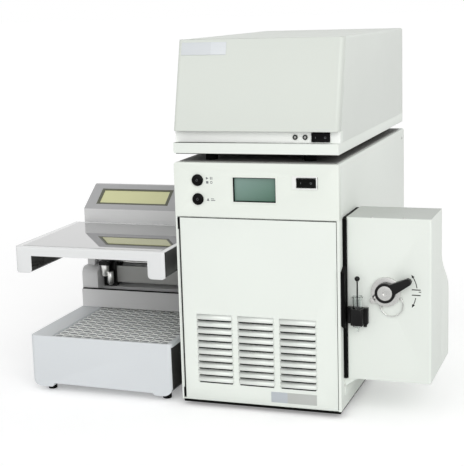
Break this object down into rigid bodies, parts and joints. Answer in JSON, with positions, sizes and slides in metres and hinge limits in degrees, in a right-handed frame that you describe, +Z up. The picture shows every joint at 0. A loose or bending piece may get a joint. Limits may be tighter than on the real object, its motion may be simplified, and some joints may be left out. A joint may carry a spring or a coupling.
{
  "type": "hplc system",
  "caption": "Liquid chromatography system: pump tower with louvred door, stacked detector, side-hung manual injection box and separate fraction collector.",
  "frame": {"origin": "middle of the footprint, on the surface the system stands on", "axes": "+X to the right seen from the front, +Y to the back, +Z up"},
  "size_m": [0.729, 0.545, 0.619],
  "materials": {
    "casing_paint": "satin fine-texture powder coat, warm white",
    "cover_paint": "satin powder coat, light warm grey",
    "panel_plastic": "moulded panel, fine matte texture",
    "inner_steel": "zinc-plated sheet",
    "rubber_black": "moulded rubber",
    "black_plastic": "fine matte black",
    "black_gloss": "semi-gloss black",
    "white_plastic": "semi-gloss white",
    "lcd_green": "display glass, grey green",
    "lcd_yellow": "display glass, yellow green",
    "olive_bezel": "dark olive",
    "silver_plate": "satin anodised",
    "pale_plate": "pale blank label",
    "polished_steel": "polished stainless steel",
    "machined_steel": "turned stainless steel",
    "cast_grey": "grey enamel",
    "polymer_ivory": "machined polymer",
    "hood_plastic": "glossy light grey",
    "collector_paint": "satin light grey",
    "collector_grey": "mid grey moulding",
    "rack_plastic": "moulded polypropylene grid",
    "back_plate_grey": "dark satin",
    "clear_glass": "clear"
  },
  "bodies": {
    "system": {"tower_chassis": "casing_paint", "tower_cover": "cover_paint", "tower_rear_panel": "cover_paint", "tower_feet": "rubber_black", "control_panel": "panel_plastic", "lcd_frame": "panel_plastic", "lcd_glass": "lcd_green", "rocker_bezel": "white_plastic", "stacking_pad": "hood_plastic", "hinge_pin": "polished_steel", "door_catch": "inner_steel", "bulkhead": "inner_steel", "pump_head_left": "machined_steel", "pump_head_right": "machined_steel", "check_valves": "machined_steel", "inlet_manifold": "polymer_ivory", "outlet_tubes": "polished_steel", "purge_valve": "machined_steel", "pump_drive": "cast_grey", "power_supply": "inner_steel", "fan_frame": "black_plastic", "detector_base": "casing_paint", "detector_cover": "cover_paint", "detector_front": "panel_plastic", "detector_feet": "rubber_black", "detector_badge": "pale_plate", "injector_case": "casing_paint", "injector_rear_cover": "cover_paint", "injector_pad": "rubber_black", "injector_bracket": "cover_paint", "valve_body": "machined_steel", "sample_loop": "polished_steel", "syringe_barrel": "clear_glass", "syringe_clamp": "black_plastic", "collector_base": "collector_paint", "collector_feet": "rubber_black", "collector_column": "collector_grey", "collector_back_plate": "back_plate_grey", "guide_rods": "polished_steel", "collector_head": "collector_grey", "display_bezel": "olive_bezel", "display_glass": "lcd_yellow", "hood_pins": "polished_steel"},
    "door": {"door": "casing_paint", "door_pull": "black_plastic", "door_badge": "silver_plate"},
    "hood": {"hood": "hood_plastic"},
    "rack": {"tube_rack": "rack_plastic"},
    "carriage": {"drop_carriage": "black_plastic", "drop_nozzle": "clear_glass"},
    "lever": {"valve_lever": "black_plastic"},
    "plunger": {"syringe_plunger": "black_plastic"},
    "purge_knob": {"purge_knob": "black_plastic"},
    "fan": {"fan_rotor": "black_plastic"},
    "upper_button": {"upper_button": "black_gloss"},
    "lower_button": {"lower_button": "black_gloss"},
    "tower_rocker": {"power_rocker": "black_gloss"},
    "detector_rocker": {"detector_rocker": "black_gloss"},
    "detector_button_left": {"detector_button_left": "silver_plate"},
    "detector_button_right": {"detector_button_right": "silver_plate"}
  },
  "joints": [
    {"name": "door_swing", "type": "hinge", "parent": "system", "child": "door", "pos_m": [-0.0535, -0.2675, 0.172], "axis": [0, 0, -1], "range_deg": [0, 110]},
    {"name": "hood_lift", "type": "hinge", "parent": "system", "child": "hood", "pos_m": [-0.2155, -0.0345, 0.2585], "axis": [-1, 0, 0], "range_deg": [0, 70]},
    {"name": "rack_slide", "type": "slide", "parent": "system", "child": "rack", "axis": [0, 1, 0], "range_m": [0, 0.165]},
    {"name": "carriage_travel", "type": "slide", "parent": "system", "child": "carriage", "axis": [1, 0, 0], "range_m": [0, 0.16]},
    {"name": "injection_lever_turn", "type": "hinge", "parent": "system", "child": "lever", "pos_m": [0.2925, -0.2575, 0.2145], "axis": [0, 1, 0], "range_deg": [0, 60]},
    {"name": "syringe_plunger_slide", "type": "slide", "parent": "system", "child": "plunger", "axis": [0, 0, 1], "range_m": [-0.018, 0.016]},
    {"name": "purge_knob_turn", "type": "hinge", "parent": "system", "child": "purge_knob", "pos_m": [0.0815, -0.1875, 0.238], "axis": [0, 1, 0], "range_deg": [0, 180]},
    {"name": "fan_spin", "type": "hinge", "parent": "system", "child": "fan", "pos_m": [0.1445, 0.2575, 0.177], "axis": [0, 1, 0], "continuous": true},
    {"name": "upper_button_press", "type": "slide", "parent": "system", "child": "upper_button", "axis": [0, 1, 0], "range_m": [0, 0.003], "stiffness_N_per_m": 300},
    {"name": "lower_button_press", "type": "slide", "parent": "system", "child": "lower_button", "axis": [0, 1, 0], "range_m": [0, 0.003], "stiffness_N_per_m": 300},
    {"name": "power_rocker_tip", "type": "hinge", "parent": "system", "child": "tower_rocker", "pos_m": [0.1683, -0.2655, 0.391], "axis": [1, 0, 0], "range_deg": [-8, 8]},
    {"name": "detector_rocker_tip", "type": "hinge", "parent": "system", "child": "detector_rocker", "pos_m": [0.1897, -0.2515, 0.4625], "axis": [1, 0, 0], "range_deg": [-8, 8]},
    {"name": "detector_left_button_press", "type": "slide", "parent": "system", "child": "detector_button_left", "axis": [0, 1, 0], "range_m": [0, 0.0015], "stiffness_N_per_m": 300},
    {"name": "detector_right_button_press", "type": "slide", "parent": "system", "child": "detector_button_right", "axis": [0, 1, 0], "range_m": [0, 0.0015], "stiffness_N_per_m": 300}
  ]
}
